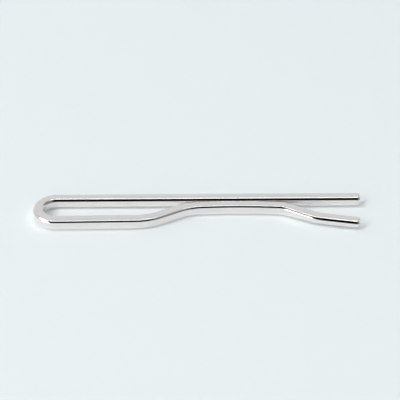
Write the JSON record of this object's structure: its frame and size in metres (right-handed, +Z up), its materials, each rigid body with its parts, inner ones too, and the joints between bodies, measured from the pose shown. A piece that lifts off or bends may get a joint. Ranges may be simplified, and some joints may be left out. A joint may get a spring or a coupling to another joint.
{
  "type": "tie clip",
  "caption": "Slim tie clip bent from square polished wire: straight front bar, U-shaped spring loop and a sprung clamp arm with a jog, arched grip land and flared tongue.",
  "frame": {"origin": "middle of the clip's length and width, on the face it lies on", "axes": "+X from the spring loop to the tips, +Y from the clamp arm to the front bar, +Z up from the face it lies on"},
  "size_m": [0.06, 0.0088, 0.0019],
  "materials": {
    "polished_silver": "mirror polished, rhodium-plated sterling silver"
  },
  "bodies": {
    "front_bar": {"front_bar": "polished_silver", "spring_loop": "polished_silver"},
    "clamp_arm": {"clamp_arm": "polished_silver"}
  },
  "joints": [
    {"name": "clamp_opening", "type": "hinge", "parent": "front_bar", "child": "clamp_arm", "pos_m": [-0.02577, 0.00021, 0.00097], "axis": [0, 0, -1], "range_deg": [0, 5], "stiffness_Nm_per_rad": 3, "deforming": ["spring_loop"]}
  ]
}
